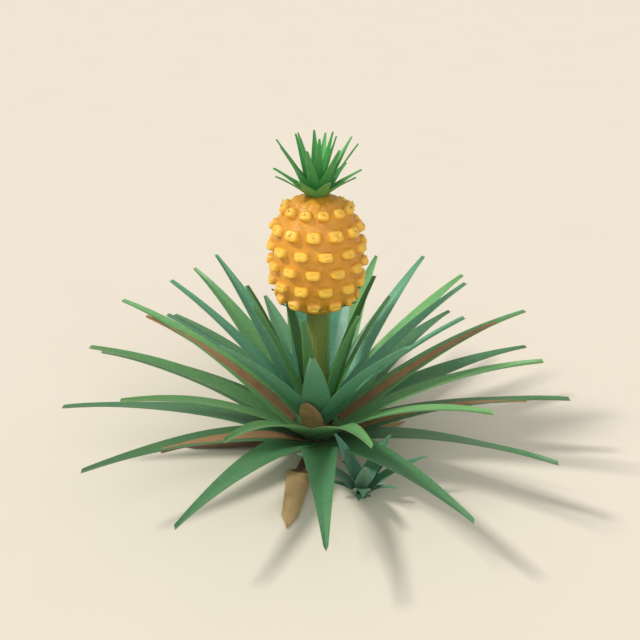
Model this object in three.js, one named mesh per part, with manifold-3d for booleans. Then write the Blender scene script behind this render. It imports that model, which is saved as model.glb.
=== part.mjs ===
// A fruiting pineapple plant: a short club-shaped stem with four whorls of sword leaves, a stalk
// with one fruit and its leafy crown, a young pup at its foot and three withered leaves.
// Millimetres, +Z up. The stem is cut flat at the ground, z = 0, with the origin at its centre.
// Azimuths are in degrees: 0 points to -Y and they turn towards +X.
import * as THREE from 'three';
import { mergeVertices } from 'three/addons/utils/BufferGeometryUtils.js';
import Module from 'manifold-3d';

const wasm = await Module();
wasm.setup();

// ---------------------------------------------------------------- driving dimensions
const GAP = 0.3; // between pieces that meet
const SECTOR_FILL = 0.86; // how much of its own sector a blade may fill

const STEM = {
  sides: 20,
  height: 118,
  footRadius: 26, // at the flat cut
  waistRadius: 20.5,
  waistHeight: 12,
  shoulderRadius: 22,
  shoulderHeight: 88,
};

const STALK = { sides: 16, radius: 18.6, neckRadius: 17.2, flareRadius: 19.5 };

// A whorl of leaves. Each leaf follows a bent path in its own upright plane, given by its foot,
// its knee (the bend's control point) and its tip, as [distance from the axis, height].
const WHORLS = [
  {
    name: 'outer_leaf', count: 13, turn: 1.7, color: 0x3f8a50,
    foot: [23.5, 15], knee: [180, 114], tip: [436, 114],
    footWidth: 79, tipWidth: 5, thickness: 2.6, channel: 0.16,
  },
  {
    name: 'middle_leaf', count: 12, turn: 11.1, color: 0x4fa558,
    foot: [24, 27], knee: [198, 180], tip: [378, 230],
    footWidth: 72, tipWidth: 5, thickness: 2.6, channel: 0.16,
  },
  {
    name: 'inner_leaf', count: 11, turn: -1.4, color: 0x4a9070,
    foot: [25.5, 72], knee: [120, 197], tip: [256, 301],
    footWidth: 66, tipWidth: 4.5, thickness: 2.4, channel: 0.18,
  },
  {
    name: 'heart_leaf', count: 8, turn: -11, color: 0x3a6f3c,
    foot: [25.5, 92], knee: [60, 194], tip: [123.5, 300],
    footWidth: 30, tipWidth: 6.5, thickness: 2.4, channel: 0.2,
  },
];
const LEAF_STEPS = 6;
const LEAF_TIP_CROWDING = 1.5; // over 1 draws the steps of a blade towards its tip

const FRUIT = {
  sides: 24,
  centreHeight: 360,
  radius: 72.6,
  roundness: 2.2,
  // fullness over 2 squares a half's shoulder; cut is the share of its height where it ends flat
  upper: { halfHeight: 108, fullness: 2.3, cut: 0.984 },
  lower: { halfHeight: 92, fullness: 3, cut: 0.97 },
};
const FRUIT_FOOT = FRUIT.centreHeight - FRUIT.lower.cut * FRUIT.lower.halfHeight;
const FRUIT_TOP = FRUIT.centreHeight + FRUIT.upper.cut * FRUIT.upper.halfHeight;

// Fruitlets: staggered rows of raised eyes.
const EYES = {
  rows: 6,
  perRow: 12,
  turn: 10.9,
  topHeight: 444,
  rowPitch: 28.8,
  width: 25,
  height: 17,
  rise: 8.5,
  depth: 14, // how far an eye is rooted below the rind
  faceShare: 0.68, // outer face against the eye's foot
  smallest: 0.8, // size of the top row's eyes against the widest row's
};

const CROWN = {
  sides: 12,
  coreRadius: 15.5,
  coreTopRadius: 9,
  coreHeight: 22,
  footRadius: 9,
  thickness: 1.8,
  channel: 0.22,
  steps: 3,
};
// The crown's whorls: knee and tip as above, with heights measured from the crown's foot.
const CROWN_WHORLS = [
  { count: 9, turn: -23.1, footHeight: 3, knee: [40, 22], tip: [72, 38], footWidth: 27, tipWidth: 3 },
  { count: 8, turn: -12.8, footHeight: 7, knee: [34, 40], tip: [66, 85], footWidth: 26, tipWidth: 3 },
  { count: 6, turn: 8, footHeight: 13, knee: [17, 47], tip: [33, 96.5], footWidth: 25, tipWidth: 3 },
];

// The pup grows from the ground in front of the plant.
const PUP = {
  azimuth: 25.1,
  distance: 173,
  sides: 12,
  footRadius: 10,
  topRadius: 6.5,
  height: 28,
  steps: 5,
  thickness: 1.6,
  channel: 0.18,
};
// azimuths are the pup's own; sector is the turn from one leaf to the next
const PUP_LOW_LEAVES = {
  azimuths: [-7, 65, 137, 209, 281], sector: 72,
  foot: [6, 4], knee: [30, 34], tip: [60, 33], footWidth: 18, tipWidth: 2.5,
};
const PUP_WHORLS = [
  {
    azimuths: [-96, -2, 92], sector: 90,
    foot: [11.5, 17], knee: [42, 56], tip: [106, 74], footWidth: 24, tipWidth: 2.5,
  },
  {
    azimuths: [-2, 118, 238], sector: 110,
    foot: [10.5, 26], knee: [24, 66], tip: [53, 89], footWidth: 24, tipWidth: 2.5,
  },
];

// Withered leaves lie on the ground, from the foot of the stem out.
const DRY = { foot: [29, 7], thickness: 1.8, channel: 0.12, rest: 1.2, steps: 6, tipWidth: 4 };
const DRY_LEAVES = [
  { name: 'dry_leaf_front', azimuth: -12.5, reach: 250, width: 40 },
  { name: 'dry_leaf_left', azimuth: -88, reach: 250, width: 30 },
  { name: 'dry_leaf_right', azimuth: 118, reach: 186, width: 24 },
];

// ---------------------------------------------------------------- helpers
const plant = new THREE.Group();
const radians = (degrees) => THREE.MathUtils.degToRad(degrees);

function add(name, geometry, color, roughness, parent = plant) {
  const material = new THREE.MeshStandardMaterial({ color, roughness, metalness: 0 });
  const mesh = new THREE.Mesh(geometry, material);
  mesh.name = name;
  parent.add(mesh);
  return mesh;
}

// three.js geometry to a manifold solid, with the shared vertices merged.
function toSolid(geometry) {
  const bare = geometry.clone();
  bare.deleteAttribute('normal');
  bare.deleteAttribute('uv');
  const merged = mergeVertices(bare, 1e-4);
  return new wasm.Manifold(new wasm.Mesh({
    numProp: 3,
    vertProperties: new Float32Array(merged.attributes.position.array),
    triVerts: new Uint32Array(merged.index.array),
  }));
}

function toGeometry(solid) {
  const { vertProperties, triVerts } = solid.getMesh();
  const geometry = new THREE.BufferGeometry();
  geometry.setAttribute('position', new THREE.BufferAttribute(vertProperties, 3));
  geometry.setIndex(new THREE.BufferAttribute(triVerts, 1));
  geometry.computeVertexNormals();
  return geometry;
}

function join(geometries) {
  const solids = geometries.map(toSolid);
  return toGeometry(solids.reduce((whole, solid) => whole.add(solid)));
}

// A turned solid about +Z from [radius, height] pairs, which start and end on the axis.
function turned(profile, sides) {
  const points = profile.map(([radius, height]) => new THREE.Vector2(radius, height));
  return new THREE.LatheGeometry(points, sides).rotateX(Math.PI / 2);
}

// A channelled blade along a path in the plane of azimuth 0. halfWidth is a function of the
// distance from the axis and of the share of the way from foot to tip.
function blade({ foot, knee, tip, halfWidth, thickness, channel, steps, crowding = 1 }) {
  const path = new THREE.QuadraticBezierCurve(
    new THREE.Vector2(...foot),
    new THREE.Vector2(...knee),
    new THREE.Vector2(...tip),
  );
  const geometry = new THREE.BoxGeometry(1, 1, 1, 2, steps, 1);
  const position = geometry.attributes.position;
  for (let i = 0; i < position.count; i += 1) {
    const side = 2 * position.getX(i);
    const share = 1 - (0.5 - position.getY(i)) ** crowding;
    const centre = path.getPoint(share);
    const along = path.getTangent(share);
    const half = halfWidth(centre.x, share);
    const lift = channel * half * Math.abs(side) + thickness * position.getZ(i);
    const distance = centre.x - along.y * lift;
    const height = centre.y + along.x * lift;
    position.setXYZ(i, -side * half, -distance, height);
  }
  geometry.computeVertexNormals();
  return geometry;
}

// A blade's half width: a straight taper to the tip, kept inside its own sector near the axis.
function taper({ footWidth, tipWidth, tip }, sector) {
  const slope = SECTOR_FILL * Math.tan(radians(sector / 2));
  return (distance, share) => {
    const wide = (footWidth * (1 - distance / tip[0]) + tipWidth) / 2;
    const point = share === 1 ? 0.4 : 1;
    return Math.min(wide * point, slope * distance);
  };
}

// ---------------------------------------------------------------- stem, stalk and leaves
function stem() {
  return turned([
    [0, 0],
    [STEM.footRadius, 0],
    [STEM.waistRadius, STEM.waistHeight],
    [STEM.shoulderRadius, STEM.shoulderHeight],
    [STALK.flareRadius, STEM.height],
    [0, STEM.height],
  ], STEM.sides);
}

function stalk() {
  const bottom = STEM.height + GAP;
  const top = FRUIT_FOOT - GAP;
  const middle = (bottom + top) / 2;
  return turned([
    [0, bottom],
    [STALK.radius, bottom],
    [STALK.neckRadius, middle],
    [STALK.radius, top],
    [0, top],
  ], STALK.sides);
}

function addWhorl(whorl) {
  const sector = 360 / whorl.count;
  for (let i = 0; i < whorl.count; i += 1) {
    const geometry = blade({
      ...whorl,
      halfWidth: taper(whorl, sector),
      steps: LEAF_STEPS,
      crowding: LEAF_TIP_CROWDING,
    });
    const number = String(i + 1).padStart(2, '0');
    const leaf = add(`${whorl.name}_${number}`, geometry, whorl.color, 0.55);
    leaf.rotation.z = radians(whorl.turn + i * sector);
  }
}

// ---------------------------------------------------------------- fruit
function rindRadius(height) {
  const half = height > FRUIT.centreHeight ? FRUIT.upper : FRUIT.lower;
  const share = Math.abs(height - FRUIT.centreHeight) / half.halfHeight;
  return FRUIT.radius * (1 - share ** half.fullness) ** (1 / FRUIT.roundness);
}

// The rind under the eyes: its edges run up between the facets under each eye, and its rings
// run round halfway between the rows.
function fruitCore() {
  const heights = [FRUIT_FOOT];
  for (let row = EYES.rows - 1; row >= 0; row -= 1) {
    heights.push(EYES.topHeight - (row + 0.5) * EYES.rowPitch);
  }
  heights.push(FRUIT_TOP);
  const profile = heights.map((height) => [rindRadius(height), height]);
  const core = turned([[0, FRUIT_FOOT], ...profile, [0, FRUIT_TOP]], FRUIT.sides);
  return core.rotateZ(radians(EYES.turn));
}

// One eye: a four-sided block with a smaller outer face, square to the rind.
function eye(height, azimuth) {
  const radius = rindRadius(height);
  const size = EYES.smallest + (1 - EYES.smallest) * ((radius / FRUIT.radius) ** 2);
  const length = EYES.rise + EYES.depth;
  const reach = EYES.rise - length / 2;
  const step = 1;
  const lean = Math.atan2(rindRadius(height - step) - rindRadius(height + step), 2 * step);
  const corner = Math.SQRT1_2; // of a square with sides of 1
  const geometry = new THREE.CylinderGeometry(EYES.faceShare * corner, corner, length, 4, 1);
  geometry.rotateY(Math.PI / 4);
  geometry.rotateX(Math.PI / 2);
  geometry.scale(EYES.width * size, EYES.height * size, 1);
  geometry.translate(0, 0, reach);
  geometry.rotateX(Math.PI / 2 - lean);
  geometry.translate(0, -radius, height);
  geometry.rotateZ(radians(azimuth));
  return geometry;
}

function fruit() {
  const pieces = [fruitCore()];
  const pitch = 360 / EYES.perRow;
  for (let row = 0; row < EYES.rows; row += 1) {
    const stagger = (row % 2) * (pitch / 2);
    for (let i = 0; i < EYES.perRow; i += 1) {
      const azimuth = EYES.turn + stagger + i * pitch;
      pieces.push(eye(EYES.topHeight - row * EYES.rowPitch, azimuth));
    }
  }
  return join(pieces);
}

// ---------------------------------------------------------------- crown
function crown() {
  const bottom = FRUIT_TOP + GAP;
  const top = bottom + CROWN.coreHeight;
  const pieces = [turned([
    [0, bottom],
    [CROWN.coreRadius, bottom],
    [CROWN.coreTopRadius, top],
    [0, top],
  ], CROWN.sides)];
  const raised = ([distance, height]) => [distance, bottom + height];
  for (const whorl of CROWN_WHORLS) {
    const lance = blade({
      foot: raised([CROWN.footRadius, whorl.footHeight]),
      knee: raised(whorl.knee),
      tip: raised(whorl.tip),
      halfWidth: taper(whorl, 360 / whorl.count),
      thickness: CROWN.thickness,
      channel: CROWN.channel,
      steps: CROWN.steps,
    });
    for (let i = 0; i < whorl.count; i += 1) {
      pieces.push(lance.clone().rotateZ(radians(whorl.turn + (i * 360) / whorl.count)));
    }
  }
  return join(pieces);
}

// ---------------------------------------------------------------- pup and dry leaves
function pupLeaf(whorl, azimuth) {
  const geometry = blade({
    ...whorl,
    halfWidth: taper(whorl, whorl.sector),
    thickness: PUP.thickness,
    channel: PUP.channel,
    steps: PUP.steps,
    crowding: LEAF_TIP_CROWDING,
  });
  return geometry.rotateZ(radians(azimuth));
}

function addPup() {
  const pup = new THREE.Group();
  const azimuth = radians(PUP.azimuth);
  pup.position.set(PUP.distance * Math.sin(azimuth), -PUP.distance * Math.cos(azimuth), 0);
  plant.add(pup);
  const core = turned([
    [0, 0],
    [PUP.footRadius, 0],
    [PUP.topRadius, PUP.height],
    [0, PUP.height],
  ], PUP.sides);
  const low = PUP_LOW_LEAVES.azimuths.map((turn) => pupLeaf(PUP_LOW_LEAVES, turn));
  add('pup_base', join([core, ...low]), 0x3d8066, 0.55, pup);
  let number = 0;
  for (const whorl of PUP_WHORLS) {
    for (const turn of whorl.azimuths) {
      number += 1;
      add(`pup_leaf_${number}`, pupLeaf(whorl, turn), 0x4f9a80, 0.55, pup);
    }
  }
}

function addDryLeaf({ name, azimuth, reach, width }) {
  const lowest = DRY.rest + DRY.thickness / 2;
  const geometry = blade({
    foot: DRY.foot,
    knee: [70, lowest],
    tip: [reach, lowest],
    halfWidth: (distance, share) => {
      const belly = Math.sin(Math.PI * (0.25 + 0.75 * share)) ** 0.6;
      return Math.max(width * belly, DRY.tipWidth) / 2;
    },
    thickness: DRY.thickness,
    channel: DRY.channel,
    steps: DRY.steps,
  });
  add(name, geometry, 0xa8895a, 0.85).rotation.z = radians(azimuth);
}

add('stem', stem(), 0x6b6038, 0.8);
add('fruit_stalk', stalk(), 0x5a6b30, 0.6);
WHORLS.forEach(addWhorl);
add('fruit', fruit(), 0xe09a30, 0.5);
add('crown', crown(), 0x3f8a48, 0.55);
addPup();
DRY_LEAVES.forEach(addDryLeaf);

export default plant;
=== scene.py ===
"""The looks of a fruiting pineapple plant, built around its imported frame.

Design sizes are in millimetres, and a mesh is turned into metres when it is made.
Azimuths are in degrees: 0 points to -Y, towards the camera, and they turn towards +X.
"""
import bisect
import math
import random

import bmesh
import bpy
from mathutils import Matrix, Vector, noise


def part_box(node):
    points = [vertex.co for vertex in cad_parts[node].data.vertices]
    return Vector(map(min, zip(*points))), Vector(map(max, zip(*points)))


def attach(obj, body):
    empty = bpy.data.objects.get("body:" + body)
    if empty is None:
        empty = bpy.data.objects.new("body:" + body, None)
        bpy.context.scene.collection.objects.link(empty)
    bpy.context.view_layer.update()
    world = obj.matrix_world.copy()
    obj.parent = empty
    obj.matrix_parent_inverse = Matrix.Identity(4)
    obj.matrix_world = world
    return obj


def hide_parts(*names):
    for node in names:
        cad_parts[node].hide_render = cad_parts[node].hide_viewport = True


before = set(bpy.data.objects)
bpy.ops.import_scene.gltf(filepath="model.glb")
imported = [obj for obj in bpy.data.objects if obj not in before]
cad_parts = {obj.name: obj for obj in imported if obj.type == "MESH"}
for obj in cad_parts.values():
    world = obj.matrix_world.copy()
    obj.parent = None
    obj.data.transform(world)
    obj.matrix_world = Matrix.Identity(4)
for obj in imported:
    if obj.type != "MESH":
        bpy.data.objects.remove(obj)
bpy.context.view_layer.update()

MM = 0.001
UP = Vector((0, 0, 1))

# -------- design sizes
# Whorls of sword leaves. A leaf follows a bent path in its own upright plane: its foot, its knee
# (the bend's control point) and its tip are (distance from the axis, height).
WHORLS = {
    # The outer whorl's green is partly painted shade: it is darker than the leaf's own green for the dim
    # light that the lowest leaves get near the ground.
    "outer_leaf": {
        "count": 13, "turn": 1.7, "foot": (23.5, 15), "knee": (180, 114), "tip": (436, 114),
        "foot_width": 79, "tip_width": 6, "green": (0.088, 0.232, 0.098),
    },
    "middle_leaf": {
        "count": 12, "turn": 11.1, "foot": (24, 27), "knee": (198, 180), "tip": (378, 230),
        "foot_width": 72, "tip_width": 6, "green": (0.14, 0.37, 0.135),
    },
    "inner_leaf": {
        "count": 11, "turn": -1.4, "foot": (25.5, 60), "knee": (120, 197), "tip": (256, 301),
        "foot_width": 66, "tip_width": 5.5, "green": (0.105, 0.34, 0.205),
    },
    "heart_leaf": {
        "count": 8, "turn": -11, "foot": (25.5, 84), "knee": (60, 194), "tip": (123.5, 300),
        "foot_width": 30, "tip_width": 7, "green": (0.075, 0.25, 0.065),
    },
}
# A blade's shape. channel is its channel's depth as a share of its half width, and depth is the
# least depth. It clasps the axis up to clasp_near and is free from clasp_far on. Near the axis its
# half width is at most span times the distance. tilt raises one margin of the clasping foot, sway
# bends the blade sideways, and blunt is the share of its length where its tip rounds off.
LEAF = {
    "thickness": 2.8, "channel": 0.16, "depth": 4.4, "clasp_near": 30, "clasp_far": 112,
    "span": 0.95, "tilt": 3.4, "stations": 60, "across": 16, "sway": 1.6, "blunt": 0.008,
    "flat": 0, "twist": 0,
}
# Leaves that lie flatter than the others up to FLAT_ENDS, shares of their length: flat is the
# share of the channel's depth that they lose, and twist is how far one margin is raised.
FLAT_LEAVES = {
    ("outer_leaf", 3): {"flat": 0.75, "twist": -4.0},
    ("outer_leaf", 4): {"flat": 0.75, "twist": -2.5},
    ("outer_leaf", 11): {"flat": 0.7, "twist": 2.5},
}
FLAT_ENDS = (0.7, 1.0)
CHANNEL_POWER = 1.5
# The margins' ripple, and how many radians it and the sway run through along a blade.
RIPPLE = {"height": 0.35, "turn": 9, "sway_turn": 3}
# Shares of a blade's thickness: at its foot, the loss towards its tip, and what is left at its
# tip and margins. thinnest is its least half width, and crowding draws the stations to the tip.
BLADE = {"foot": 1.15, "loss": 0.3, "tip": 0.2, "margin": 0.28, "crowding": 1.35, "thinnest": 0.15}
SPINES = {
    "spacing": 7.0, "length": 1.3, "radius": 0.4125, "sides": 4, "first": 0.1, "last": 0.97,
    "sunk": 0.3, "hook": 0.9,
}
TIP_SPINE = {"sunk": 2.0, "length": 2.25, "radius": 1.1, "sides": 6}

# Withered reddish strips that lie in the channel of four leaves: the leaf, the share of it that
# the strip covers, how far its end sinks below the leaf, and how far it moves to the side.
WITHERED = [
    ("middle_leaf", 4, 0.85, 1.5, 0.0),
    ("middle_leaf", 9, 0.85, 3.5, 10.0),
    ("outer_leaf", 4, 0.85, 1.0, -8.5),
    ("outer_leaf", 12, 0.74, 2.5, 8.0),
]
STRIP = {
    "width": 0.44, "widest": 0.95, "end_width": 7.0, "thickness": 3.0, "margin": 0.3, "rise": 2.2,
    "first": 0.06, "stations": 50, "across": 8,
}

FRUIT = {"radius": 72.6, "roundness": 2.2, "centre": 360}
# fullness over 2 squares a half's shoulder; cut is the share of its height where it ends flat
FRUIT_UPPER = {"fullness": 2.3, "cut": 0.984}
FRUIT_LOWER = {"fullness": 3.0, "cut": 0.97}
EYES = {
    "per_row": 12, "turn": 10.9, "top_height": 444, "row_pitch": 28.8,
    "squareness": 3.6, "spined_squareness": 2.6, "segments": 5,
}
# Width, height, rise and spine of the eyes in each row, from the lowest to the top one.
EYE_SIZES = [
    (23.5, 16, 7.8, 0), (26, 16.5, 8.6, 0), (26.5, 16, 9.0, 0),
    (26.5, 16.5, 9.0, 0), (25.5, 20, 8.8, 1.8), (21.5, 18.5, 8.0, 8.0),
]
# The spine on an eye: up to short, it is a stub; a longer one starts low, below the eye's middle,
# and stands away from the eye's face by a share of its run.
EYE_SPINE = {"short": 2, "low": 2.8, "stand": (0.3, 0.5), "radius": 0.4, "taper": 0.05, "sides": 6}
BLIND_SIZE = (16, 12, 0.5, 0)  # the same four values for a flat fruitlet
# An eye starts above the rind by foot, and a spine above its rise by top. droop and lean tilt its
# face by a share falloff of its rise. The noise has a height and a fineness.
EYE_SHAPE = {"foot": 1.1, "top": 1.2, "droop": 0.9, "lean": 1.3, "falloff": 0.3}
RIND_NOISE = {"rough": 0.25, "grain": 0.12, "eye_rough": 0.35, "eye_grain": 0.35}
BLIND_ROWS_ABOVE = [20]  # arc lengths from the last row of eyes to rows of flat fruitlets
BLIND_ROWS_BELOW = [22, 41]
BRACTS = {
    "count": 7, "turn": 4, "foot_distance": 18.2, "knee": (52, 284), "tip": (78, 299),
    "foot_width": 16, "tip_width": 2, "clasp_near": 18, "clasp_far": 50,
}

# The crown's whorls: count, turn, the leaves' foot, knee and tip, and the width at the foot.
CROWN_WHORLS = [
    (9, -23.1, (12, -2), (40, 22), (72, 38), 32),
    (8, -12.8, (10, 3), (34, 40), (66, 85), 28),
    (6, 8, (8, 10), (17, 47), (33, 96.5), 25),
]
SMALL_LEAF = {
    **LEAF, "clasp_near": 7, "tilt": 1.0, "across": 10, "sway": 0.8, "blunt": 0.01, "tip_width": 3,
}
CROWN_LEAF = {
    **SMALL_LEAF, "thickness": 1.8, "channel": 0.2, "depth": 1.4, "clasp_far": 26, "span": 1.25,
    "stations": 30, "green": (0.05, 0.32, 0.058),
}
# The crown's short axis, as (radius, height above the crown's foot).
CROWN_CORE = [(14, -3), (13, 2), (11, 7), (8, 16), (6, 28), (3, 36)]

PUP = {"azimuth": 25.1, "distance": 173}
# The azimuths of the pup's leaves, their foot, knee and tip, and the width at the foot.
PUP_WHORLS = [
    ((-7, 65, 137, 209, 281), (5, 2), (30, 34), (60, 33), 21),
    ((-96, -2, 92), (5, 3), (42, 56), (106, 74), 34),
    ((118, 238), (4, 3), (24, 73), (54, 102), 50),
    ((5,), (4, 3), (24, 66), (53, 89), 36),
]
PUP_LEAF = {
    **SMALL_LEAF, "thickness": 1.6, "channel": 0.17, "depth": 1.6, "clasp_far": 24, "span": 1.5,
    "stations": 34, "green": (0.10, 0.27, 0.165),
}
PUP_BRACTS = {
    "count": 11, "reach": 11, "height": 5, "foot": (3, 1.5), "knee_height": 4, "knee_share": 0.85,
    "tip_share": 1.3, "foot_width": 6, "tip_width": 1.4, "stations": 18,
}

# A withered leaf's neck, dark with painted shade by the stem, has the share neck of its width up to
# neck_ends. From there on it narrows, and it comes to a point over its last stretch. fold and curl
# raise its margins.
DRY = {
    "foot": (27, 8), "knee_distance": 70, "thickness": 1.6, "margin": 0.4, "clearance": 0.4,
    "neck": 0.32, "neck_ends": (92, 104), "narrowing": 0.46, "point": 0.2, "least_half": 0.6,
    "fold": 0.10, "curl": 2.2, "ripple": 0.9, "sway": 2.5, "stations": 70, "across": 18,
}
# dark gives a whole leaf the dark brown look: painted shade for the shadow that the left leaf lies in.
DRY_LEAVES = [
    {"node": "dry_leaf_front", "azimuth": -12.5, "reach": 250, "width": 43, "drift": 15, "dark": False},
    {"node": "dry_leaf_left", "azimuth": -88, "reach": 250, "width": 30, "drift": 0, "dark": True},
    {"node": "dry_leaf_right", "azimuth": 114.5, "reach": 182, "width": 26, "drift": 0, "dark": False},
]
SHEATH = {"azimuth": -6.5, "foot": (46, 56), "tip": (90, 138), "width": 39, "thickness": 2.4, "lean": -6}
SCALES = {
    "rows": 5, "per_row": 9, "first": 6, "pitch": 15, "turn": 0.38, "foot_distance": 23.5,
    "tip_distance": 26.5, "width": 22, "height": 24, "thickness": 1.4,
}
# A scale rounds off from its shoulder to its tip, where it bulges outwards; slant tilts its top.
SCALE_SHAPE = {
    "shoulder": 0.45, "rounding": 0.551, "power": 2.2, "least_half": 0.4, "margin": 0.35,
    "cup": 2.5, "bulge": 2.4, "crumple": 0.8, "slant": 0.6,
}
STALK = {
    "inset": 0.6, "below": 22, "above": 1.5, "waist": 1.2, "ribs": 16, "rib": 0.42, "uneven": 0.7,
    "sides": 96, "rings": 60,
}
# The stem's outline above its foot as (height, radius), and its radius at the top.
STEM = {
    "profile": [(12, 20.5), (60, 21.5), (88, 22)], "top_radius": 19, "scar_pitch": 7,
    "scar": 0.9, "rough": 0.6, "even_rings": 3, "sides": 96, "rings": 150,
}

CAMERA = {"elevation": 24.38, "distance": 1494.6, "target": (4.9, 0, 247.4), "field": 39.9}
FLOOR_REACH = 150000
# Each sun's azimuth, elevation, strength, softness in degrees, and colour.
SUNS = {
    "key": (-80, 47, 2.2, 9, (1.0, 0.97, 0.93)),
    "fill": (15, 38, 1.15, 70, (0.98, 0.985, 1.0)),
}
SKY = {"color": (1.0, 0.985, 0.96), "strength": 0.42}


# -------- small maths
def mix(a, b, share):
    return a + (b - a) * share


def fade(value, near, far):
    """1 up to near, 0 from far on, and smooth between them."""
    share = min(1.0, max(0.0, (value - near) / (far - near)))
    return 1 - share * share * (3 - 2 * share)


def outward(azimuth):
    angle = math.radians(azimuth)
    return Vector((math.sin(angle), -math.cos(angle), 0))


def sideways(azimuth):
    angle = math.radians(azimuth)
    return Vector((math.cos(angle), math.sin(angle), 0))


def bend(foot, knee, tip, share):
    """A point of the bent path, and the path's direction there, as (distance, height) pairs."""
    rest = 1 - share
    point = [rest * rest * a + 2 * rest * share * b + share * share * c for a, b, c in zip(foot, knee, tip)]
    slope = [rest * (b - a) + share * (c - b) for a, b, c in zip(foot, knee, tip)]
    length = math.hypot(*slope)
    return point, [slope[0] / length, slope[1] / length]


def section(across, thickness, margin):
    """(side, rise) pairs round a thin blade: over its top from -1 to 1, and back underneath."""
    top = []
    for j in range(across + 1):
        side = 2 * j / across - 1
        share = margin + (1 - margin) * math.sqrt(max(0.0, 1 - side * side))
        top.append((side, thickness * share / 2))
    return top + [(side, -rise) for side, rise in reversed(top)]


def box_mm(node):
    low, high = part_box(node)
    return low / MM, high / MM


# -------- meshes
class Build:
    """The points, faces, looks and surface coordinates of one piece, in millimetres."""

    def __init__(self):
        self.points = []
        self.faces = []
        self.looks = []
        self.coordinates = []

    def add_face(self, corners, look, coordinates):
        self.faces.append(corners)
        self.looks.append(look)
        self.coordinates.extend(coordinates)

    def add_skin(self, rings, look_of, coordinate_of):
        """A closed skin over a row of rings of equal length, with both ends closed."""
        first = len(self.points)
        size = len(rings[0])
        for ring in rings:
            self.points.extend(ring)
        for i in range(len(rings) - 1):
            for j in range(size):
                k = (j + 1) % size
                pairs = [(i, j), (i, k), (i + 1, k), (i + 1, j)]
                corners = [first + a * size + b for a, b in pairs]
                self.add_face(corners, look_of(i, j), [coordinate_of(a, b) for a, b in pairs])
        last = len(rings) - 1
        start = [first + j for j in reversed(range(size))]
        end = [first + last * size + j for j in range(size)]
        self.add_face(start, look_of(0, 0), [coordinate_of(0, j) for j in reversed(range(size))])
        self.add_face(end, look_of(last, 0), [coordinate_of(last, j) for j in range(size)])

    def add_cone(self, base, apex, radius, sides):
        """A small closed cone from base to apex."""
        axis = (apex - base).normalized()
        side = axis.orthogonal().normalized()
        other = axis.cross(side)
        first = len(self.points)
        for j in range(sides):
            angle = 2 * math.pi * j / sides
            self.points.append(base + radius * (math.cos(angle) * side + math.sin(angle) * other))
        self.points.append(apex)
        for j in range(sides):
            self.add_face([first + j, first + (j + 1) % sides, first + sides], 0, [(0, 0)] * 3)
        self.add_face([first + j for j in reversed(range(sides))], 0, [(0, 0)] * sides)


def make_piece(name, build, materials, nodes=(), sharp=45, weld=False):
    """Makes the mesh of one piece, which rides on the plant and stands for CAD nodes."""
    mesh = bpy.data.meshes.new(name)
    mesh.from_pydata([tuple(p * MM) for p in build.points], [], build.faces)
    for material in materials:
        mesh.materials.append(material)
    mesh.polygons.foreach_set("material_index", build.looks)
    layer = mesh.uv_layers.new(name="surface")
    layer.data.foreach_set("uv", [value for pair in build.coordinates for value in pair])
    if weld:
        weld_and_fill(mesh)
    mesh.shade_smooth()
    mesh.set_sharp_from_angle(angle=math.radians(sharp))
    piece = bpy.data.objects.new(name, mesh)
    bpy.context.scene.collection.objects.link(piece)
    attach(piece, "root")
    if nodes:
        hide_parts(*nodes)


def weld_and_fill(mesh):
    """Joins patches along their shared edges and closes the two ends."""
    work = bmesh.new()
    work.from_mesh(mesh)
    bmesh.ops.remove_doubles(work, verts=work.verts, dist=0.02 * MM)
    open_edges = [edge for edge in work.edges if edge.is_boundary]
    bmesh.ops.holes_fill(work, edges=open_edges, sides=0)
    bmesh.ops.recalc_face_normals(work, faces=work.faces)
    work.to_mesh(mesh)
    work.free()


# -------- materials
def start_material(name, roughness):
    material = bpy.data.materials.new(name)
    material.use_nodes = True
    shader = material.node_tree.nodes["Principled BSDF"]
    shader.inputs["Roughness"].default_value = roughness
    return material, material.node_tree, shader


def noise_node(tree, source, scale, stretch=(1, 1, 1), detail=3.0):
    mapping = tree.nodes.new("ShaderNodeMapping")
    mapping.inputs["Scale"].default_value = stretch
    tree.links.new(source, mapping.inputs["Vector"])
    texture = tree.nodes.new("ShaderNodeTexNoise")
    texture.inputs["Scale"].default_value = scale
    texture.inputs["Detail"].default_value = detail
    tree.links.new(mapping.outputs["Vector"], texture.inputs["Vector"])
    return texture.outputs["Fac"]


def ramp_node(tree, source, stops):
    ramp = tree.nodes.new("ShaderNodeValToRGB")
    elements = ramp.color_ramp.elements
    while len(elements) < len(stops):
        elements.new(0.5)
    for element, (place, color) in zip(elements, stops):
        element.position = place
        element.color = (*color, 1)
    tree.links.new(source, ramp.inputs["Fac"])
    return ramp.outputs["Color"]


def blend_node(tree, share, first, second, mode="MIX"):
    """share is a number or a socket, and first and second are colours or sockets."""
    blend = tree.nodes.new("ShaderNodeMix")
    blend.data_type = "RGBA"
    blend.blend_type = mode
    for socket, value in ((0, share), (6, first), (7, second)):
        if isinstance(value, bpy.types.NodeSocket):
            tree.links.new(value, blend.inputs[socket])
        elif socket == 0:
            blend.inputs[socket].default_value = value
        else:
            blend.inputs[socket].default_value = (*value, 1)
    return blend.outputs[2]


def set_roughness(tree, shader, source, low, high):
    span = tree.nodes.new("ShaderNodeMapRange")
    span.inputs["To Min"].default_value = low
    span.inputs["To Max"].default_value = high
    tree.links.new(source, span.inputs["Value"])
    tree.links.new(span.outputs["Result"], shader.inputs["Roughness"])


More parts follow.
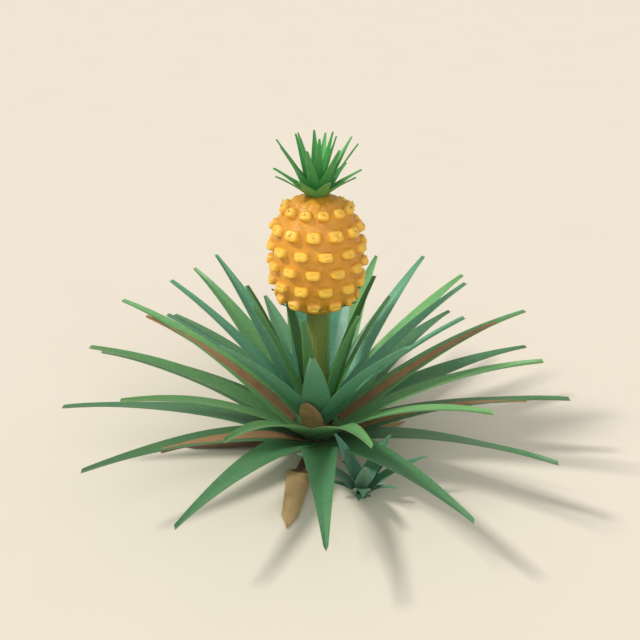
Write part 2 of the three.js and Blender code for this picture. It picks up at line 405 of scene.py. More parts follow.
def set_bump(tree, shader, layers):
    """Adds bumps on top of each other; a layer is (height source, depth in mm, strength)."""
    below = None
    for source, depth, strength in layers:
        bump = tree.nodes.new("ShaderNodeBump")
        bump.inputs["Distance"].default_value = depth * MM
        bump.inputs["Strength"].default_value = strength
        tree.links.new(source, bump.inputs["Height"])
        if below:
            tree.links.new(below, bump.inputs["Normal"])
        below = bump.outputs["Normal"]
    tree.links.new(below, shader.inputs["Normal"])


def scaled(color, factor):
    return tuple(channel * factor for channel in color)


def surface_coordinates(tree):
    node = tree.nodes.new("ShaderNodeUVMap")
    node.uv_map = "surface"
    return node.outputs["UV"]


def object_coordinates(tree):
    return tree.nodes.new("ShaderNodeTexCoord").outputs["Object"]


def leaf_material(name, green, roughness=0.42):
    """Fine veins along the blade, soft blotches and a waxy sheen."""
    material, tree, shader = start_material(name, roughness)
    along = surface_coordinates(tree)
    place = object_coordinates(tree)
    veins = noise_node(tree, along, 1.0, (16, 9, 1), 4)
    bands = noise_node(tree, along, 1.0, (2.2, 14, 1), 3)
    blotches = noise_node(tree, place, 26, detail=2)
    scurf = noise_node(tree, place, 900, detail=2)
    veined = ramp_node(tree, veins, [(0.3, scaled(green, 0.8)), (0.7, scaled(green, 1.18))])
    warm = (green[0] * 1.5, green[1] * 1.12, green[2] * 0.9)
    patches = ramp_node(tree, blotches, [(0.42, (0, 0, 0)), (0.78, (0.4, 0.4, 0.4))])
    tinted = blend_node(tree, patches, veined, warm)
    shaded = ramp_node(tree, bands, [(0.3, (0.9, 0.9, 0.9)), (0.7, (1.08, 1.08, 1.08))])
    tree.links.new(blend_node(tree, 1.0, tinted, shaded, "MULTIPLY"), shader.inputs["Base Color"])
    set_roughness(tree, shader, bands, roughness - 0.08, roughness + 0.12)
    set_bump(tree, shader, [(veins, 0.35, 0.6), (scurf, 0.06, 0.5)])
    return material


def withered_material(name, tan, dark, roughness=0.78):
    """Dried leaf: papery fibres and darker stains."""
    material, tree, shader = start_material(name, roughness)
    along = surface_coordinates(tree)
    place = object_coordinates(tree)
    fibres = noise_node(tree, along, 1.0, (22, 12, 1), 5)
    stains = noise_node(tree, place, 40, detail=4)
    grain = noise_node(tree, place, 700, detail=2)
    fibred = ramp_node(tree, fibres, [(0.3, mix_color(tan, dark, 0.45)), (0.62, tan)])
    stained = ramp_node(tree, stains, [(0.5, (0, 0, 0)), (0.72, (0.75, 0.75, 0.75))])
    tree.links.new(blend_node(tree, stained, fibred, dark), shader.inputs["Base Color"])
    set_roughness(tree, shader, fibres, roughness - 0.1, roughness + 0.1)
    set_bump(tree, shader, [(fibres, 0.5, 0.8), (grain, 0.08, 0.5)])
    return material


def mix_color(first, second, share):
    return tuple(mix(a, b, share) for a, b in zip(first, second))


def skin_material(name, color, dark, spread, roughness, pores=0.12):
    """Rind, horn and bark: mottled, with fine pores."""
    material, tree, shader = start_material(name, roughness)
    place = object_coordinates(tree)
    mottle = noise_node(tree, place, spread, detail=4)
    pore = noise_node(tree, place, spread * 9, detail=3)
    mottled = ramp_node(tree, mottle, [(0.34, dark), (0.6, color)])
    specks = ramp_node(tree, pore, [(0.3, (0.86, 0.86, 0.86)), (0.62, (1.04, 1.04, 1.04))])
    tree.links.new(blend_node(tree, 1.0, mottled, specks, "MULTIPLY"), shader.inputs["Base Color"])
    set_roughness(tree, shader, pore, roughness - 0.1, roughness + 0.12)
    set_bump(tree, shader, [(mottle, pores * 3, 0.5), (pore, pores, 0.6)])
    return material


def floor_material():
    material, tree, shader = start_material("floor_cream", 0.9)
    place = object_coordinates(tree)
    grain = noise_node(tree, place, 3, detail=2)
    tone = ramp_node(tree, grain, [(0.3, (0.764, 0.703, 0.592)), (0.7, (0.776, 0.715, 0.604))])
    tree.links.new(tone, shader.inputs["Base Color"])
    shader.inputs["Specular IOR Level"].default_value = 0.1
    return material


# -------- sword leaves
class Blade:
    """One sword leaf: a channelled blade on a bent path, which clasps the axis at its foot."""

    def __init__(self, shape, azimuth, rand, origin=Vector((0, 0, 0))):
        self.shape = shape
        self.origin = origin
        self.out = outward(azimuth)
        self.side = sideways(azimuth)
        self.sway = rand.uniform(-1, 1) * shape["sway"]
        self.wave = rand.uniform(0, 2 * math.pi)
        self.stagger = rand.uniform(0, 40)
        legs = math.dist(shape["foot"], shape["knee"]) + math.dist(shape["knee"], shape["tip"])
        self.length = (legs + 2 * math.dist(shape["foot"], shape["tip"])) / 3

    def half_width(self, share, distance):
        shape = self.shape
        wide = (shape["foot_width"] * (1 - distance / shape["tip"][0]) + shape["tip_width"]) / 2
        wide = min(wide, shape["span"] * distance)
        return max(wide * self.ending(share), BLADE["thinnest"])

    def ending(self, share):
        """Rounds off the last stretch of the blade."""
        left = min(1.0, (1 - share) / self.shape["blunt"])
        return math.sqrt(max(0.0, 1 - (1 - left) ** 2))

    def lift(self, share, side, half, clasp):
        """How far a point stands off the blade's middle line."""
        shape = self.shape
        flat = fade(share, *FLAT_ENDS)
        depth = max(shape["channel"] * half, shape["depth"]) * self.ending(share)
        depth *= 1 - shape["flat"] * flat
        ripple = RIPPLE["height"] * math.sin(self.wave + RIPPLE["turn"] * share) * abs(side)
        free = depth * abs(side) ** CHANNEL_POWER + (ripple + shape["twist"] * flat) * side
        return free * (1 - clasp) + shape["tilt"] * side * clasp

    def place(self, share, side, rise=0.0):
        """The point at a share of the length and a side from -1 to 1, raised off the blade."""
        shape = self.shape
        (distance, height), (run, climb) = bend(shape["foot"], shape["knee"], shape["tip"], share)
        half = self.half_width(share, distance)
        clasp = fade(distance, shape["clasp_near"], shape["clasp_far"])
        lift = self.lift(share, side, half, clasp) + rise
        reach = distance - climb * lift
        across = side * half
        angle = across / max(reach, 1.0)
        wrapped = self.out * reach * math.cos(angle) + self.side * reach * math.sin(angle)
        sway = self.sway * math.sin(self.wave + RIPPLE["sway_turn"] * share) * share
        spread = self.out * reach + self.side * (across + sway)
        point = spread.lerp(wrapped, clasp)
        return self.origin + point + UP * (height + run * lift)

    def thickness(self, share):
        along = BLADE["foot"] - BLADE["loss"] * share
        return self.shape["thickness"] * along * max(self.ending(share), BLADE["tip"])

    def add_to(self, build, top_look, under_look):
        across = self.shape["across"]
        stations = self.shape["stations"]
        shares = [self.station(i / stations) for i in range(stations + 1)]
        rings = []
        for share in shares:
            outline = section(across, self.thickness(share), BLADE["margin"])
            rings.append([self.place(share, side, rise) for side, rise in outline])

        def look_of(_, j):
            return top_look if j < across else under_look

        def coordinate_of(i, j):
            return (outline[j][0], self.stagger + shares[i] * self.length / 100)

        build.add_skin(rings, look_of, coordinate_of)

    @staticmethod
    def station(share):
        """Draws the stations towards the tip, where the blade rounds off."""
        return 1 - (1 - share) ** BLADE["crowding"]

    def add_spines(self, build, rand, size=1.0):
        """Small hooked spines along both margins, and one at the tip."""
        count = int(self.length * (SPINES["last"] - SPINES["first"]) / (SPINES["spacing"] * size))
        for side in (-1, 1):
            for i in range(count):
                share = mix(SPINES["first"], SPINES["last"], (i + rand.uniform(0.2, 0.8)) / count)
                long = SPINES["length"] * size * rand.uniform(0.75, 1.15)
                self.add_margin_spine(build, share, side, long, size)
        end = self.place(1.0, 0)
        heading = (end - self.place(0.985, 0)).normalized()
        base = end - heading * TIP_SPINE["sunk"] * size
        apex = end + heading * TIP_SPINE["length"] * size
        build.add_cone(base, apex, TIP_SPINE["radius"] * size, TIP_SPINE["sides"])

    def add_margin_spine(self, build, share, side, long, size):
        edge = self.place(share, side)
        along = (self.place(share + 0.004, side) - edge).normalized()
        away = (edge - self.place(share, side * 0.9)).normalized()
        base = edge - away * SPINES["sunk"] * size
        apex = edge + (away + along * SPINES["hook"]) * long
        build.add_cone(base, apex, SPINES["radius"] * size, SPINES["sides"])


def whorl_blades(name):
    """The blades of one whorl, in the order of their CAD nodes."""
    whorl = WHORLS[name]
    rand = random.Random(f"blades {name}")
    step = 360 / whorl["count"]
    blades = []
    for i in range(whorl["count"]):
        shape = {**LEAF, **whorl, **FLAT_LEAVES.get((name, i + 1), {})}
        blades.append(Blade(shape, whorl["turn"] + i * step, rand))
    return blades


def leaf_looks(name, green, rand, pale=0.12):
    """Three greens for the upper faces, and a paler, greyer one for the undersides."""
    shades = []
    for i, factor in enumerate((0.88, 1.0, 1.12)):
        warmth = rand.uniform(0.94, 1.06)
        tone = (green[0] * factor * warmth, green[1] * factor, green[2] * factor / warmth)
        shades.append(leaf_material(f"{name}_{i + 1}", tone))
    under = mix_color(green, (0.30, 0.42, 0.30), pale)
    shades.append(leaf_material(f"{name}_under", under, 0.5))
    return shades


def make_whorl(name):
    whorl = WHORLS[name]
    rand = random.Random(f"looks {name}")
    build = Build()
    for blade in whorl_blades(name):
        blade.add_to(build, rand.randrange(3), 3)
    nodes = [f"{name}_{i + 1:02d}" for i in range(whorl["count"])]
    looks = leaf_looks(name, whorl["green"], rand)
    make_piece(name.replace("leaf", "leaves"), build, looks, nodes)


def make_leaf_spines():
    horn = skin_material("spine_horn", (0.34, 0.27, 0.09), (0.2, 0.1, 0.04), 120, 0.45)
    for name in WHORLS:
        rand = random.Random(f"spines {name}")
        build = Build()
        for blade in whorl_blades(name):
            blade.add_spines(build, rand)
        make_piece(f"{name}_spines", build, [horn])


def make_withered_strips():
    """Reddish-brown dead strips in the channels of four leaves."""
    build = Build()
    for name, number, length, sink, shift in WITHERED:
        blade = whorl_blades(name)[number - 1]
        add_strip(build, blade, length, sink, shift)
    dead = withered_material("withered_strip", (0.42, 0.235, 0.11), (0.26, 0.13, 0.058))
    make_piece("withered_strips", build, [dead])


def add_strip(build, blade, length, sink, shift):
    """One strip that follows a blade to a share of its length and sinks towards its end."""
    outline = section(STRIP["across"], STRIP["thickness"], STRIP["margin"])
    steps = [i / STRIP["stations"] for i in range(STRIP["stations"] + 1)]
    shares = [mix(STRIP["first"], length, along) for along in steps]
    rings = []
    for along, share in zip(steps, shares):
        (distance, _), _ = bend(blade.shape["foot"], blade.shape["knee"], blade.shape["tip"], share)
        half = blade.half_width(share, distance)
        wide = max(STRIP["width"], min(STRIP["widest"], STRIP["end_width"] / 2 / half))
        drop = UP * (-sink * along ** 3) + blade.side * (shift * along)
        rings.append([blade.place(share, s * wide, STRIP["rise"] + over) + drop for s, over in outline])
    build.add_skin(rings, lambda i, j: 0, lambda i, j: (outline[j][0], blade.stagger + shares[i] * 4))


# -------- fruit
def fruit_ends():
    """The heights of the rind's foot and top: where the stalk ends and the crown begins."""
    return box_mm("fruit_stalk")[1].z, box_mm("crown")[0].z


class Rind:
    """The fruit's turned outline, measured by the arc length from its foot."""

    def __init__(self, steps=600):
        bottom, top = fruit_ends()
        self.lower_half = (FRUIT["centre"] - bottom) / FRUIT_LOWER["cut"]
        self.upper_half = (top - FRUIT["centre"]) / FRUIT_UPPER["cut"]
        self.table = []
        arc = 0.0
        for i in range(steps + 1):
            height = mix(bottom, top, 0.5 - 0.5 * math.cos(math.pi * i / steps))
            radius = self.radius(height)
            if self.table:
                arc += math.hypot(radius - self.table[-1][1], height - self.table[-1][2])
            self.table.append((arc, radius, height))
        self.length = arc

    def radius(self, height):
        upper = height > FRUIT["centre"]
        half = self.upper_half if upper else self.lower_half
        fullness = (FRUIT_UPPER if upper else FRUIT_LOWER)["fullness"]
        share = min(1.0, abs(height - FRUIT["centre"]) / half)
        return FRUIT["radius"] * (1 - share ** fullness) ** (1 / FRUIT["roundness"])

    def arc_at(self, height):
        return min(self.table, key=lambda row: abs(row[2] - height))[0]

    def at(self, arc):
        """Radius, height and outward direction (run, climb) at an arc length."""
        arc = min(self.length, max(0.0, arc))
        after = bisect.bisect_right(self.table, arc, 1, len(self.table) - 1, key=lambda row: row[0])
        a, b = self.table[after - 1], self.table[after]
        share = (arc - a[0]) / (b[0] - a[0])
        run, climb = b[1] - a[1], b[2] - a[2]
        size = math.hypot(run, climb)
        return mix(a[1], b[1], share), mix(a[2], b[2], share), (climb / size, -run / size)

    def place(self, azimuth, arc):
        radius, height, _ = self.at(arc)
        return outward(azimuth) * radius + UP * height

    def normal(self, azimuth, arc):
        _, _, (run, climb) = self.at(arc)
        return outward(azimuth) * run + UP * climb


def fruitlet_rows(rind):
    """Rows from the foot to the top: (arc length, stagger, size of the eyes or None for flat ones)."""
    rows = []
    half_pitch = 180 / EYES["per_row"]
    for row, size in enumerate(reversed(EYE_SIZES)):
        height = EYES["top_height"] - row * EYES["row_pitch"]
        rows.insert(0, (rind.arc_at(height), (row % 2) * half_pitch, size))
    lowest, highest = rows[0][0], rows[-1][0]
    for i, drop in enumerate(BLIND_ROWS_BELOW):
        rows.insert(0, (lowest - drop, (i % 2) * half_pitch, None))
    for i, climb in enumerate(BLIND_ROWS_ABOVE):
        rows.append((highest + climb, ((i + 1) % 2) * half_pitch, None))
    return rows


# The rings of a fruitlet from its groove to the eye's foot: share of the way, and rise.
SHIELD_RINGS = [(0.0, -0.15), (0.08, 0.0), (0.2, 0.15), (0.4, 0.3), (0.6, 0.4), (0.85, 0.5), (1.0, 0.9)]
# The rings of an eye from its foot inwards: size against its foot, and share of the full rise.
EYE_RINGS = [(0.93, 0.3), (0.85, 0.68), (0.77, 0.95), (0.72, 1.0), (0.45, 1.03), (0.2, 1.05), (0.1, 1.04)]
GROOVE, SHIELD, EYE_WALL, EYE_FACE, EYE_PIT = range(5)
FIRST_EYE_RING = len(SHIELD_RINGS)
FIRST_PIT_RING = FIRST_EYE_RING + 5


def fruitlet_outline(below, arc, above, first, last):
    """The six-sided cell's points as (azimuth, arc) offsets from its centre."""
    half = 180 / EYES["per_row"]
    up = (above - arc) if last else (above - arc) / 3
    top = (above - arc) if last else (above - arc) * 2 / 3
    down = (below - arc) if first else (below - arc) / 3
    foot = (below - arc) if first else (below - arc) * 2 / 3
    corners = [(half, up), (0, top), (-half, up), (-half, down), (0, foot), (half, down)]
    points = []
    for i, (x, y) in enumerate(corners):
        next_x, next_y = corners[(i + 1) % len(corners)]
        for j in range(EYES["segments"]):
            share = j / EYES["segments"]
            points.append((mix(x, next_x, share), mix(y, next_y, share)))
    return points


def eye_outline(points, radius, width, height, power):
    """The eye's foot as offsets, one for each point of the cell's outline."""
    wide = width / 2
    tall = height / 2
    result = []
    for turn, climb in points:
        x = math.radians(turn) * radius
        length = math.hypot(x, climb)
        x, y = x / length, climb / length
        reach = ((abs(x) / wide) ** power + (abs(y) / tall) ** power) ** (-1 / power)
        result.append((math.degrees(x * reach / radius), y * reach))
    return result


def add_fruitlet(build, rind, azimuth, cell, size, rand):
    """One fruitlet with its eye; gives the middle of the eye's face and the way it faces."""
    below, arc, above, first, last = cell
    outline = fruitlet_outline(below, arc, above, first, last)
    radius = rind.at(arc)[0]
    width, height, full_rise, spine = size or BLIND_SIZE
    power = EYES["spined_squareness"] if spine > EYE_SPINE["short"] else EYES["squareness"]
    foot = eye_outline(outline, radius, width, height, power)
    rise = full_rise * rand.uniform(0.93, 1.07)
    facing = rind.normal(azimuth, arc)
    lean = rand.uniform(-1, 1) * EYE_SHAPE["lean"]
    rings = [shield_ring(rind, azimuth, arc, outline, foot, *ring) for ring in SHIELD_RINGS]
    for inner, share in EYE_RINGS:
        ring = []
        for turn, climb in foot:
            base = rind.place(azimuth + turn * inner, arc + climb * inner)
            tilt = EYE_SHAPE["droop"] * climb / height + lean * math.radians(turn)
            rough = RIND_NOISE["eye_rough"] * noise.noise(base * RIND_NOISE["eye_grain"])
            stand = (rise * (1 - EYE_SHAPE["falloff"] * tilt) + rough) * share
            ring.append(base + facing * (EYE_SHAPE["foot"] + stand))
        rings.append(ring)
    add_patch(build, rings, bool(size), bool(spine))
    return rind.place(azimuth, arc) + facing * (rise + EYE_SHAPE["top"]), facing


def shield_ring(rind, azimuth, arc, outline, foot, share, lift):
    """One ring of the rind between a cell's outline and the foot of its eye."""
    ring = []
    for (turn, climb), (foot_turn, foot_climb) in zip(outline, foot):
        place = (azimuth + mix(turn, foot_turn, share), arc + mix(climb, foot_climb, share))
        point = rind.place(*place)
        rough = RIND_NOISE["rough"] * noise.noise(point * RIND_NOISE["grain"]) if share else 0
        ring.append(point + rind.normal(*place) * (lift + rough))
    return ring


def add_patch(build, rings, raised, pitted):
    """The skin over a fruitlet's rings, closed by a fan round its middle."""
    first = len(build.points)
    size = len(rings[0])
    for ring in rings:
        build.points.extend(ring)
    build.points.append(sum(rings[-1], Vector((0, 0, 0))) / size)
    centre = first + len(rings) * size
    for i in range(len(rings)):
        look = fruitlet_look(i, raised, pitted)
        outer = first + i * size
        for j in range(size):
            k = (j + 1) % size
            last = i == len(rings) - 1
            inside = [centre] if last else [outer + size + k, outer + size + j]
            build.add_face([outer + j, outer + k, *inside], look, [(0, 0)] * (2 + len(inside)))


def fruitlet_look(ring, raised, pitted):
    """The look of the faces between a ring and the next one inwards."""
    if ring == 0:
        return GROOVE
    if ring < FIRST_EYE_RING or not raised:
        return SHIELD
    if ring == FIRST_EYE_RING:
        return EYE_WALL
    return EYE_PIT if pitted and ring >= FIRST_PIT_RING else EYE_FACE


def make_fruit():
    rand = random.Random("fruitlets")
    rind = Rind()
    rows = fruitlet_rows(rind)
    arcs = [0.0] + [row[0] for row in rows] + [rind.length]
    build = Build()
    spines = Build()
    step = 360 / EYES["per_row"]
    for i, (arc, stagger, size) in enumerate(rows):
        cell = (arcs[i], arc, arcs[i + 2], i == 0, i == len(rows) - 1)
        for j in range(EYES["per_row"]):
            azimuth = EYES["turn"] + stagger + j * step
            eye, facing = add_fruitlet(build, rind, azimuth, cell, size, rand)
            if size and size[3]:
                add_eye_spine(spines, eye, facing, size[3], rand)
    looks = [
        # The groove look is a little darker than the shield: painted shade in the grooves between the
        # fruitlets.
        skin_material("rind_groove_painted_shade", (0.71, 0.325, 0.028), (0.63, 0.27, 0.021), 60, 0.47),
        skin_material("rind_shield", (0.73, 0.34, 0.029), (0.65, 0.28, 0.022), 60, 0.45),
        skin_material("rind_eye_wall", (0.86, 0.475, 0.048), (0.80, 0.40, 0.036), 80, 0.42),
        skin_material("rind_eye_face", (0.92, 0.55, 0.066), (0.87, 0.48, 0.05), 80, 0.42),
        skin_material("rind_eye_pit", (0.84, 0.46, 0.05), (0.66, 0.32, 0.035), 150, 0.5),
    ]
    make_piece("fruit_rind", build, looks, ["fruit"], sharp=38, weld=True)
    horn = skin_material("eye_spine_horn", (0.10, 0.055, 0.02), (0.05, 0.03, 0.015), 200, 0.6)
    make_piece("fruit_eye_spines", spines, [horn])


def add_eye_spine(build, eye, facing, length, rand):
    """The dry tip of a flower's bract, which stands up from the eye."""
    long = length * rand.uniform(0.8, 1.15)
    upward = (UP - facing * UP.dot(facing)).normalized()
    heading = (upward + facing * rand.uniform(*EYE_SPINE["stand"])).normalized()
    foot = eye - upward * (EYE_SPINE["low"] if length > EYE_SPINE["short"] else 0)
    radius = EYE_SPINE["radius"] + EYE_SPINE["taper"] * length
    build.add_cone(foot, foot + heading * long, radius, EYE_SPINE["sides"])


def make_fruit_bracts():
    """Small green bracts under the fruit, whose tips show round its foot."""
    rand = random.Random("bracts")
    foot = (BRACTS["foot_distance"], fruit_ends()[0] + 1)
    shape = {**CROWN_LEAF, **BRACTS, "foot": foot}
    build = Build()
    step = 360 / BRACTS["count"]
    for i in range(BRACTS["count"]):
        Blade(shape, BRACTS["turn"] + i * step, rand).add_to(build, 0, 1)
    looks = leaf_looks("fruit_bract", (0.05, 0.19, 0.06), rand)[::3]
    make_piece("fruit_bracts", build, looks)


# -------- crown
def crown_blades():
    rand = random.Random("crown")
    origin = UP * box_mm("crown")[0].z
    blades = []
    for count, turn, foot, knee, tip, width in CROWN_WHORLS:
        shape = {**CROWN_LEAF, "foot": foot, "knee": knee, "tip": tip, "foot_width": width}
        for i in range(count):
            blades.append(Blade(shape, turn + i * 360 / count, rand, origin))
    return blades


def make_crown():
    rand = random.Random("crown looks")
    build = Build()
    spines = Build()
    for blade in crown_blades():
        blade.add_to(build, rand.randrange(3), 3)
        blade.add_spines(spines, rand, 0.5)
    add_crown_core(build, box_mm("crown")[0].z)
    looks = leaf_looks("crown_leaf", CROWN_LEAF["green"], rand)
    make_piece("crown_leaves", build, looks, ["crown"])
    horn = skin_material("crown_spine_horn", (0.16, 0.3, 0.1), (0.2, 0.14, 0.05), 200, 0.45)
    make_piece("crown_spines", spines, [horn])


def add_crown_core(build, foot, sides=36):
    """The short axis in the middle of the crown, which its leaves hide."""
    around = [outward(360 * j / sides) for j in range(sides)]
    rings = [[out * radius + UP * (foot + height) for out in around] for radius, height in CROWN_CORE]
    build.add_skin(rings, lambda i, j: 0, lambda i, j: (j / 6, i / 6))


# -------- stalk and stem
def make_turned(name, heights, sides, radius_of, material, node):
    """A closed skin round the axis; radius_of gives its radius at a ring, height and azimuth."""
    azimuths = [360 * j / sides for j in range(sides)]
    rings = []
    for i, height in enumerate(heights):
        rings.append([outward(a) * radius_of(i, height, a) + UP * height for a in azimuths])
    build = Build()
    build.add_skin(rings, lambda i, j: 0, lambda i, j: (j / 12, i / 14))
    make_piece(name, build, [material], [node])


def make_stalk():
    """The stalk: faint ribs, and a slight waist."""
    low, high = box_mm("fruit_stalk")
    count = STALK["rings"]
    foot, top = low.z - STALK["below"], high.z + STALK["above"]
    heights = [mix(foot, top, i / count) for i in range(count + 1)]

    def radius_of(i, height, azimuth):
        waist = STALK["waist"] * math.sin(math.pi * i / count)
        rib = STALK["rib"] * math.cos(math.radians(azimuth * STALK["ribs"]))
        uneven = STALK["uneven"] * noise.noise(outward(azimuth) * 1.4 + UP * height * 0.02)
        return high.x - STALK["inset"] - waist + rib + uneven

    green = leaf_material("stalk_olive", (0.19, 0.25, 0.06), 0.55)
    make_turned("fruit_stalk_skin", heights, STALK["sides"], radius_of, green, "fruit_stalk")


def make_stem():
    """The club-shaped stem, ringed by the scars of shed leaves."""
    high = box_mm("stem")[1]
    profile = [(0, high.x), *STEM["profile"], (high.z, STEM["top_radius"])]
    heights = [high.z * i / STEM["rings"] for i in range(STEM["rings"] + 1)]

    def radius_of(i, height, azimuth):
        spiral = height / STEM["scar_pitch"] + azimuth / 360
        scar = STEM["scar"] * (abs(math.sin(math.pi * spiral)) ** 0.5 - 1)
        rough = STEM["rough"] * noise.noise(outward(azimuth) * 5 + UP * height * 0.3)
        return profile_radius(profile, height) + (scar + rough) * min(1.0, i / STEM["even_rings"])

    bark = skin_material("stem_bark", (0.20, 0.13, 0.06), (0.09, 0.055, 0.03), 110, 0.85, 0.3)
    make_turned("stem_bark", heights, STEM["sides"], radius_of, bark, "stem")


def profile_radius(profile, height):
    for (low, a), (high, b) in zip(profile, profile[1:]):
        if height <= high:
            return mix(a, b, (height - low) / (high - low))
    return profile[-1][1]


def scale_half(width, share):
    """A scale's half width, which rounds off from its shoulder to its tip."""
    past = max(0.0, (share - SCALE_SHAPE["shoulder"]) / SCALE_SHAPE["rounding"])
    wide = width * math.sqrt(max(0.0, 1 - past ** SCALE_SHAPE["power"]))
    return max(SCALE_SHAPE["least_half"], wide / 2)


def add_scale(build, azimuth, foot, tip, width, thickness, rand, lean=0, stations=26, across=14):
    """A rounded sheath scale, curved round the axis: foot and tip are (distance, height)."""
    out, side = outward(azimuth), sideways(azimuth)
    outline = section(across, thickness, SCALE_SHAPE["margin"])[::-1]
    rings = []
    seed = rand.uniform(0, 50)
    for i in range(stations + 1):
        share = i / stations
        distance = mix(foot[0], tip[0], share ** 0.8)
        height = mix(foot[1], tip[1], share)
        half = scale_half(width, share)
        ring = []
        for s, over in outline:
            crumple = SCALE_SHAPE["crumple"] * noise.noise(Vector((s * 1.6, share * 3, seed)))
            reach = distance + over + crumple + SCALE_SHAPE["bulge"] * share * share
            angle = s * half / distance
            cup = SCALE_SHAPE["slant"] * lean * s - SCALE_SHAPE["cup"] * s * s
            level = height + cup * share * half / width * 2
            shift = reach * math.sin(angle) + lean * share * share
            ring.append(out * reach * math.cos(angle) + side * shift + UP * level)
        rings.append(ring)
    build.add_skin(rings, lambda i, j: 0, lambda i, j: (outline[j][0], seed + i / 12))


def make_sheath():
    """One broad dry sheath that stands in front of the stem."""
    build = Build()
    rand = random.Random("sheath")
    foot, tip, width = SHEATH["foot"], SHEATH["tip"], SHEATH["width"]
    add_scale(build, SHEATH["azimuth"], foot, tip, width, SHEATH["thickness"], rand, SHEATH["lean"])
    dry = withered_material("sheath_brown", (0.52, 0.27, 0.135), (0.34, 0.16, 0.075))
    make_piece("sheath_scale", build, [dry])


def make_stem_scales():
    """The short dry bases of shed leaves, which hide the stem between its whorls."""
    build = Build()
    rand = random.Random("scales")
    width, thickness = SCALES["width"], SCALES["thickness"]
    for row in range(SCALES["rows"]):
        low = SCALES["first"] + row * SCALES["pitch"]
        for i in range(SCALES["per_row"]):
            azimuth = (i + row * SCALES["turn"]) * 360 / SCALES["per_row"] + rand.uniform(-4, 4)
            foot = (SCALES["foot_distance"], low)
            distance = SCALES["tip_distance"] + rand.uniform(0, 2)
            tip = (distance, low + SCALES["height"] * rand.uniform(0.8, 1.1))
            add_scale(build, azimuth, foot, tip, width, thickness, rand, stations=10, across=8)
    dry = withered_material("scale_brown", (0.24, 0.15, 0.07), (0.10, 0.06, 0.03))
    make_piece("stem_scales", build, [dry])


# -------- pup
def make_pup():
    rand = random.Random("pup")
    origin = outward(PUP["azimuth"]) * PUP["distance"]
    build = Build()
    spines = Build()
    for azimuths, foot, knee, tip, width in PUP_WHORLS:
        shape = {**PUP_LEAF, "foot": foot, "knee": knee, "tip": tip, "foot_width": width}
        for azimuth in azimuths:
            blade = Blade(shape, azimuth, rand, origin)
            blade.add_to(build, rand.randrange(3), 3)
            blade.add_spines(spines, rand, 0.6)
    for i in range(PUP_BRACTS["count"]):
        add_pup_bract(build, origin, i, rand)
    nodes = ["pup_base"] + [f"pup_leaf_{i}" for i in range(1, 7)]
    looks = leaf_looks("pup_leaf", PUP_LEAF["green"], rand, 0.3)
    make_piece("pup_leaves", build, looks, nodes)
    horn = skin_material("pup_spine_horn", (0.22, 0.3, 0.14), (0.22, 0.14, 0.05), 200, 0.45)
    make_piece("pup_spines", spines, [horn])


def add_pup_bract(build, origin, i, rand):
    """A short leaf at the pup's foot."""
    reach = PUP_BRACTS["reach"] * rand.uniform(0.85, 1.2)
    height = PUP_BRACTS["height"] * rand.uniform(0.8, 1.15)
    knee = (reach * PUP_BRACTS["knee_share"], PUP_BRACTS["knee_height"])
    tip = (reach * PUP_BRACTS["tip_share"], height)
    shape = {**PUP_LEAF, **PUP_BRACTS, "knee": knee, "tip": tip}
    azimuth = (i + rand.uniform(-0.2, 0.2)) * 360 / PUP_BRACTS["count"]
    Blade(shape, azimuth, rand, origin).add_to(build, 0, 0)


# -------- dry leaves
def dry_half(leaf, distance, free):
    """Half the width of a withered leaf at a distance; free is the share of its flat part."""
    neck = mix(1.0, DRY["neck"], fade(distance, *DRY["neck_ends"]))
    point = min(1.0, (1 - free) / DRY["point"])
    return max(leaf["width"] * neck * (1 - DRY["narrowing"] * free) * point / 2, DRY["least_half"])


def dry_rise(side, share, seed, half):
    """How far the folded, curled and crumpled blade stands off the ground."""
    curl = 0.5 + noise.noise(Vector((side, share * 5, seed)))
    fold = DRY["fold"] * half * abs(side) + DRY["curl"] * abs(side) ** 4 * curl
    return fold + DRY["ripple"] * (noise.noise(Vector((side * 2, share * 9, seed + 7))) + 0.55)


def add_dry_leaf(build, leaf, rand):
    """A withered leaf on the ground: narrow by the stem, with painted shade there, then flat, with curled
    edges.
    """
    out, side = outward(leaf["azimuth"]), sideways(leaf["azimuth"])
    outline = section(DRY["across"], DRY["thickness"], DRY["margin"])
    seed = rand.uniform(0, 90)
    lowest = DRY["clearance"] + DRY["thickness"]
    knee, tip = (DRY["knee_distance"], lowest), (leaf["reach"], lowest)
    neck_end = DRY["neck_ends"][1]
    rings = []
    for i in range(DRY["stations"] + 1):
        share = i / DRY["stations"]
        (distance, height), _ = bend(DRY["foot"], knee, tip, share)
        free = max(0.0, distance - neck_end) / (leaf["reach"] - neck_end)
        half = dry_half(leaf, distance, free)
        drift = DRY["sway"] * noise.noise(Vector((share * 3, seed, 1))) + leaf["drift"] * (free - 0.5)
        ring = []
        for s, over in outline:
            rise = dry_rise(s, share, seed, half)
            level = max(height + rise + over, DRY["clearance"] + over + DRY["thickness"] / 2)
            ring.append(out * distance + side * (s * half + drift) + UP * level)
        rings.append(ring)

    def look_of(i, _):
        # Painted shade: the neck by the stem, and every ring of a leaf marked dark, take the dark brown
        # look.
        return 1 if leaf["dark"] or max(p.length for p in rings[i]) < neck_end else 0

    def coordinate_of(i, j):
        return (outline[j][0], seed + i / DRY["stations"] * leaf["reach"] / 60)

    build.add_skin(rings, look_of, coordinate_of)


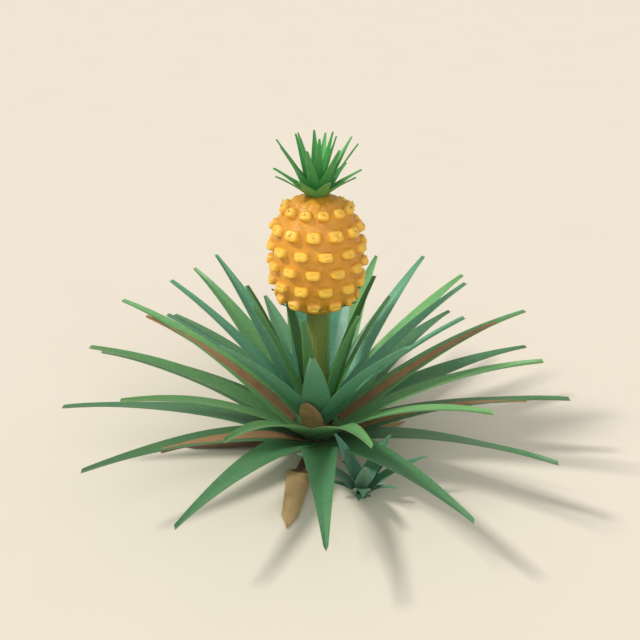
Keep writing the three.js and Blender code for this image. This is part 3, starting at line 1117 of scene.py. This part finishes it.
def make_dry_leaves():
    tan = withered_material("dry_leaf_tan", (0.54, 0.37, 0.17), (0.40, 0.26, 0.115))
    # The dark brown look is painted shade: a shaded copy of the dry leaf, for the necks and for the leaf
    # that lies in shadow.
    dark = withered_material("dry_leaf_painted_shade", (0.17, 0.095, 0.05), (0.09, 0.05, 0.03))
    for leaf in DRY_LEAVES:
        build = Build()
        add_dry_leaf(build, leaf, random.Random(leaf["node"]))
        make_piece(f"{leaf['node']}_blade", build, [tan, dark], [leaf["node"]])


# -------- stage
def make_camera():
    target = Vector(CAMERA["target"])
    tilt = math.radians(CAMERA["elevation"])
    back = Vector((0, -math.cos(tilt), math.sin(tilt)))
    data = bpy.data.cameras.new("camera")
    data.angle = math.radians(CAMERA["field"])
    camera = bpy.data.objects.new("camera", data)
    camera.location = (target + back * CAMERA["distance"]) * MM
    camera.rotation_euler = (-back).to_track_quat("-Z", "Y").to_euler()
    bpy.context.scene.collection.objects.link(camera)
    bpy.context.scene.camera = camera


def make_floor():
    reach = FLOOR_REACH * MM
    corners = [(-reach, -reach, 0), (reach, -reach, 0), (reach, reach, 0), (-reach, reach, 0)]
    mesh = bpy.data.meshes.new("floor")
    mesh.from_pydata(corners, [], [(0, 1, 2, 3)])
    mesh.materials.append(floor_material())
    floor = bpy.data.objects.new("floor", mesh)
    bpy.context.scene.collection.objects.link(floor)


def add_sun(name, azimuth, elevation, strength, softness, color):
    """A sun that shines from an azimuth and an elevation."""
    data = bpy.data.lights.new(name, "SUN")
    data.energy = strength
    data.angle = math.radians(softness)
    data.color = color
    sun = bpy.data.objects.new(name, data)
    tilt = math.radians(elevation)
    source = outward(azimuth) * math.cos(tilt) + UP * math.sin(tilt)
    sun.rotation_euler = source.to_track_quat("Z", "Y").to_euler()
    bpy.context.scene.collection.objects.link(sun)


def make_light():
    for name, values in SUNS.items():
        add_sun(name, *values)
    world = bpy.data.worlds.new("sky")
    world.use_nodes = True
    background = world.node_tree.nodes["Background"]
    background.inputs["Color"].default_value = (*SKY["color"], 1)
    background.inputs["Strength"].default_value = SKY["strength"]
    bpy.context.scene.world = world
    bpy.context.scene.view_settings.view_transform = "Standard"
    bpy.context.scene.view_settings.look = "None"


make_camera()
make_floor()
make_light()
for whorl_name in WHORLS:
    make_whorl(whorl_name)
make_leaf_spines()
make_withered_strips()
make_fruit()
make_fruit_bracts()
make_crown()
make_stalk()
make_stem()
make_stem_scales()
make_sheath()
make_pup()
make_dry_leaves()
